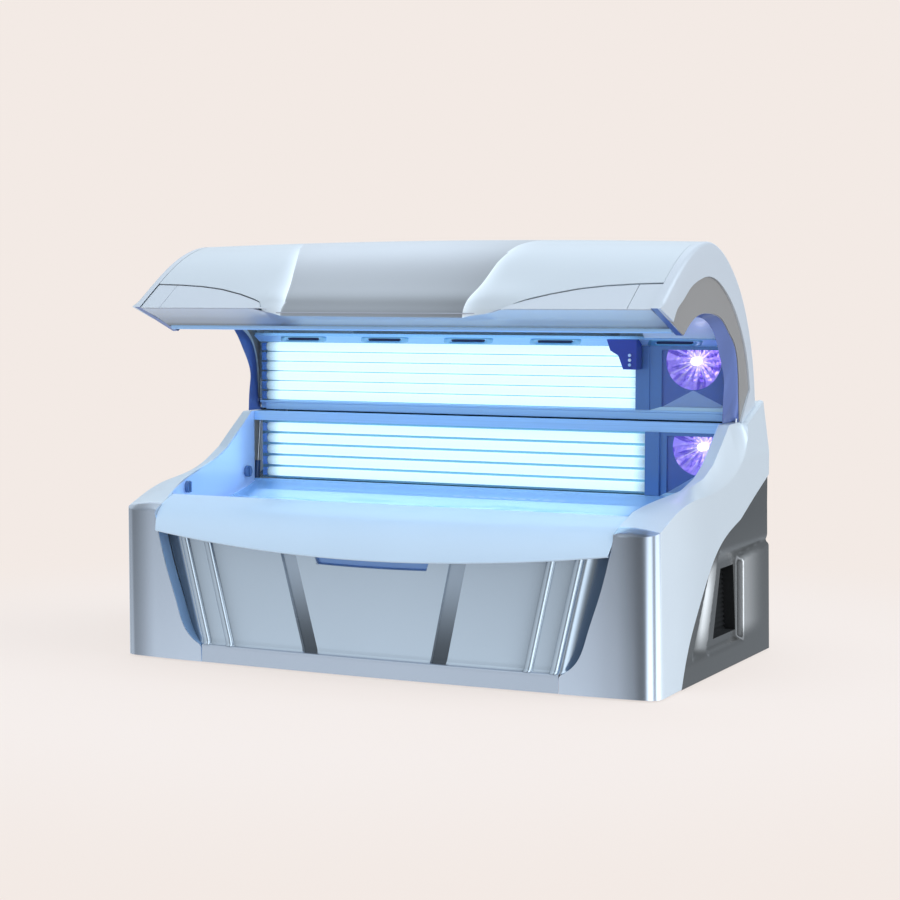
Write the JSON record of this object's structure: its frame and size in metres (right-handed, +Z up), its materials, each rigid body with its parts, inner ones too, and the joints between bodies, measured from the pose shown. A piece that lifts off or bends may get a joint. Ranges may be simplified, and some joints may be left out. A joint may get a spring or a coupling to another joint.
{
  "type": "clamshell tanning bed",
  "caption": "Lie-down tanning bed with a curved acrylic bench, side pillars, a lower front panel and an arched lamp canopy that hinges open at the back.",
  "frame": {"origin": "on the floor under the middle of the bed's box", "axes": "+X along the bed to the head end, +Y to the back where the hinge is, +Z up"},
  "size_m": [2.3, 1.3399, 1.638],
  "materials": {
    "frame_paint": "satin",
    "foot_rubber": "matte",
    "zinc_sheet": "satin",
    "silver_cover": "metallic lacquer",
    "dark_panel": "satin metallic lacquer",
    "black_plastic": "matte",
    "pale_cover": "metallic lacquer",
    "grey_cover": "satin metallic lacquer",
    "clear_acrylic": "clear",
    "reflector_sheet": "bright rolled",
    "lamp_glass": "lit",
    "white_plastic": "satin",
    "rail_aluminium": "satin anodised",
    "filter_glass": "violet",
    "ballast_steel": "gloss",
    "bracket_steel": "plated",
    "black_metal": "gloss",
    "chrome_rod": "polished",
    "navy_plastic": "gloss",
    "button_green": "gloss",
    "button_amber": "gloss"
  },
  "bodies": {
    "base": {"base_frame": "frame_paint", "levelling_feet": "foot_rubber", "floor_pan": "zinc_sheet", "side_cover_right": "silver_cover", "side_cover_left": "silver_cover", "side_panel_right": "dark_panel", "side_panel_left": "dark_panel", "side_vents": "black_plastic", "front_plinth": "silver_cover", "front_lip": "pale_cover", "rear_cover": "grey_cover", "wall_acrylic": "clear_acrylic", "base_reflectors": "reflector_sheet", "base_lamps": "lamp_glass", "base_lampholders": "white_plastic", "base_rails": "rail_aluminium", "inner_walls": "silver_cover", "base_face_housing": "reflector_sheet", "base_face_bulb": "lamp_glass", "base_face_glass": "filter_glass", "ballasts": "ballast_steel", "fan_housing": "black_plastic", "control_box": "zinc_sheet", "cable_gland": "black_plastic", "hinge_brackets": "bracket_steel", "hinge_pins": "bracket_steel", "cover_screws": "bracket_steel"},
    "canopy": {"canopy_frame": "frame_paint", "canopy_hood": "grey_cover", "canopy_shroud": "grey_cover", "canopy_wing_right": "pale_cover", "canopy_wing_left": "pale_cover", "corner_trims": "pale_cover", "canopy_front_rail": "rail_aluminium", "canopy_end_cap_right": "pale_cover", "canopy_end_cap_left": "pale_cover", "canopy_end_faces": "dark_panel", "canopy_reflector": "reflector_sheet", "canopy_lamps": "lamp_glass", "canopy_lampholders": "white_plastic", "canopy_acrylic": "clear_acrylic", "canopy_rear_rail": "rail_aluminium", "canopy_face_housing": "reflector_sheet", "canopy_face_bulb": "lamp_glass", "canopy_face_glass": "filter_glass", "control_pod": "navy_plastic"},
    "bench_acrylic": {"bench_acrylic": "clear_acrylic"},
    "front_panel": {"front_panel": "grey_cover"},
    "fan_rotor": {"fan_rotor": "black_plastic"},
    "lock_knob_right_1": {"lock_knob_right_1": "navy_plastic"},
    "lock_knob_right_2": {"lock_knob_right_2": "navy_plastic"},
    "gas_spring_cylinder_right": {"gas_spring_cylinder_right": "black_metal"},
    "gas_spring_rod_right": {"gas_spring_rod_right": "chrome_rod"},
    "lock_knob_left_1": {"lock_knob_left_1": "navy_plastic"},
    "lock_knob_left_2": {"lock_knob_left_2": "navy_plastic"},
    "gas_spring_cylinder_left": {"gas_spring_cylinder_left": "black_metal"},
    "gas_spring_rod_left": {"gas_spring_rod_left": "chrome_rod"},
    "start_button": {"start_button": "button_green"},
    "fan_button": {"fan_button": "white_plastic"},
    "face_button": {"face_button": "button_amber"}
  },
  "joints": [
    {"name": "canopy_hinge", "type": "hinge", "parent": "base", "child": "canopy", "pos_m": [0, 0.56, 0.94], "axis": [1, 0, 0], "range_deg": [0, 33.5]},
    {"name": "bench_acrylic_hinge", "type": "hinge", "parent": "base", "child": "bench_acrylic", "pos_m": [0, 0.302, 0.632], "axis": [1, 0, 0], "range_deg": [-50, 0]},
    {"name": "front_panel_slide", "type": "slide", "parent": "base", "child": "front_panel", "axis": [0, -1, 0], "range_m": [0, 0.12]},
    {"name": "fan_spin", "type": "hinge", "parent": "base", "child": "fan_rotor", "pos_m": [0, 0.33, 0.15], "axis": [0, 0, 1], "continuous": true},
    {"name": "lock_knob_right_1_turn", "type": "hinge", "parent": "base", "child": "lock_knob_right_1", "pos_m": [1.00383, -0.28492, 0.652], "axis": [-0.9654, 0.2607, 0], "range_deg": [0, 90]},
    {"name": "lock_knob_right_2_turn", "type": "hinge", "parent": "base", "child": "lock_knob_right_2", "pos_m": [1.0457, 0.252, 0.672], "axis": [-1, 0, 0], "range_deg": [0, 90]},
    {"name": "gas_spring_sway_right", "type": "hinge", "parent": "base", "child": "gas_spring_cylinder_right", "pos_m": [1.076, 0.35, 0.33], "axis": [1, 0, 0], "range_deg": [-2, 0]},
    {"name": "gas_spring_stroke_right", "type": "slide", "parent": "gas_spring_cylinder_right", "child": "gas_spring_rod_right", "axis": [0, 0.124, 0.9923], "range_m": [-0.09, 0]},
    {"name": "lock_knob_left_1_turn", "type": "hinge", "parent": "base", "child": "lock_knob_left_1", "pos_m": [-1.00383, -0.28492, 0.652], "axis": [0.9654, 0.2607, 0], "range_deg": [0, 90]},
    {"name": "lock_knob_left_2_turn", "type": "hinge", "parent": "base", "child": "lock_knob_left_2", "pos_m": [-1.0457, 0.252, 0.672], "axis": [1, 0, 0], "range_deg": [0, 90]},
    {"name": "gas_spring_sway_left", "type": "hinge", "parent": "base", "child": "gas_spring_cylinder_left", "pos_m": [-1.076, 0.35, 0.33], "axis": [1, 0, 0], "range_deg": [-2, 0]},
    {"name": "gas_spring_stroke_left", "type": "slide", "parent": "gas_spring_cylinder_left", "child": "gas_spring_rod_left", "axis": [0, 0.124, 0.9923], "range_m": [-0.09, 0]},
    {"name": "start_button_press", "type": "slide", "parent": "canopy", "child": "start_button", "axis": [0, 1, 0], "range_m": [0, 0.002], "stiffness_N_per_m": 400, "springref_m": -0.0005},
    {"name": "fan_button_press", "type": "slide", "parent": "canopy", "child": "fan_button", "axis": [0, 1, 0], "range_m": [0, 0.002], "stiffness_N_per_m": 400, "springref_m": -0.0005},
    {"name": "face_button_press", "type": "slide", "parent": "canopy", "child": "face_button", "axis": [0, 1, 0], "range_m": [0, 0.002], "stiffness_N_per_m": 400, "springref_m": -0.0005}
  ],
  "couplings": [
    {"joint": "gas_spring_sway_right", "follows": "canopy_hinge", "ratio": -0.0343},
    {"joint": "gas_spring_stroke_right", "follows": "canopy_hinge", "m_per_rad": -0.1283},
    {"joint": "gas_spring_sway_left", "follows": "canopy_hinge", "ratio": -0.0343},
    {"joint": "gas_spring_stroke_left", "follows": "canopy_hinge", "m_per_rad": -0.1283}
  ]
}
